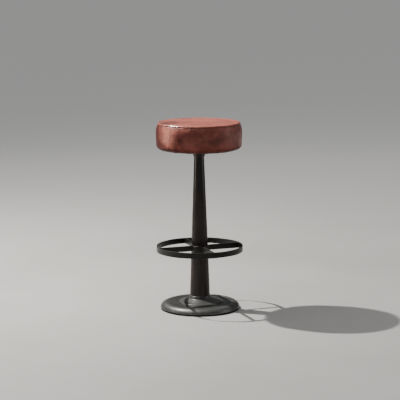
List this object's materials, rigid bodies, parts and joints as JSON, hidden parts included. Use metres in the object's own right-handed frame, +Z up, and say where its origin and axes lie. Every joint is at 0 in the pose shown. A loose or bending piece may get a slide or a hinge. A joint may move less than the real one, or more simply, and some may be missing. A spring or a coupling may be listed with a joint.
{
  "type": "bar stool",
  "caption": "Swivel bar stool with a round leather seat, a tapered column, a flat-bar foot ring and a round cast base.",
  "frame": {"origin": "on the floor, under the middle of the base", "axes": "+Z up along the column and the swivel axis; the spokes of the foot ring lie along X and Y, and +Y is the rear, where the hub's screws are"},
  "size_m": [0.354, 0.354, 0.7742],
  "materials": {
    "brown_leather": "waxed pull-up leather, mottled red brown, semi-gloss",
    "cast_base": "burnished pewter-grey cast iron, waxed",
    "bronzed_iron": "dark bronze-black lacquer, satin",
    "black_steel": "black stove enamel, satin",
    "black_screws": "blackened steel",
    "zinc_steel": "zinc plated",
    "plate_steel": "black primer",
    "spindle_steel": "turned",
    "bearing_steel": "ground",
    "spring_steel": "phosphated",
    "brass_cage": "machined",
    "bronze": "sintered",
    "black_rubber": "matte",
    "birch_ply": "bare plywood",
    "foam": "moulded foam",
    "dust_cloth": "non-woven cloth",
    "staple_wire": "galvanised"
  },
  "bodies": {
    "stand": {"floor_ring": "black_rubber", "base_casting": "cast_base", "foot_collar": "cast_base", "column": "bronzed_iron", "tie_rod": "zinc_steel", "base_washer": "zinc_steel", "lock_washer": "zinc_steel", "base_nut": "zinc_steel", "foot_ring_hub": "black_steel", "foot_ring_hoop": "black_steel", "foot_ring_spoke_1": "black_steel", "foot_ring_spoke_2": "black_steel", "foot_ring_spoke_3": "black_steel", "foot_ring_spoke_4": "black_steel", "hub_screws": "black_screws", "bearing_housing": "bronzed_iron", "bearing_outer_ring": "bearing_steel", "bearing_seals": "black_rubber", "housing_circlip": "spring_steel", "spindle_bush": "bronze"},
    "bearing_cage": {"bearing_balls": "bearing_steel", "ball_cage": "brass_cage"},
    "seat": {"swivel_spindle": "spindle_steel", "bearing_inner_ring": "bearing_steel", "spindle_circlip": "spring_steel", "seat_plate": "plate_steel", "plate_screws": "zinc_steel", "tee_nuts": "zinc_steel", "seat_board": "birch_ply", "seat_foam": "foam", "seat_side_band": "brown_leather", "seat_piping": "brown_leather", "seat_top_panel": "brown_leather", "dust_cover": "dust_cloth", "cover_staples": "staple_wire"}
  },
  "joints": [
    {"name": "seat_swivel", "type": "hinge", "parent": "stand", "child": "seat", "pos_m": [0, 0, 0.641], "axis": [0, 0, 1], "continuous": true},
    {"name": "cage_turn", "type": "hinge", "parent": "stand", "child": "bearing_cage", "pos_m": [0, 0, 0.641], "axis": [0, 0, 1], "continuous": true}
  ],
  "couplings": [
    {"joint": "cage_turn", "follows": "seat_swivel", "ratio": 0.39758}
  ]
}
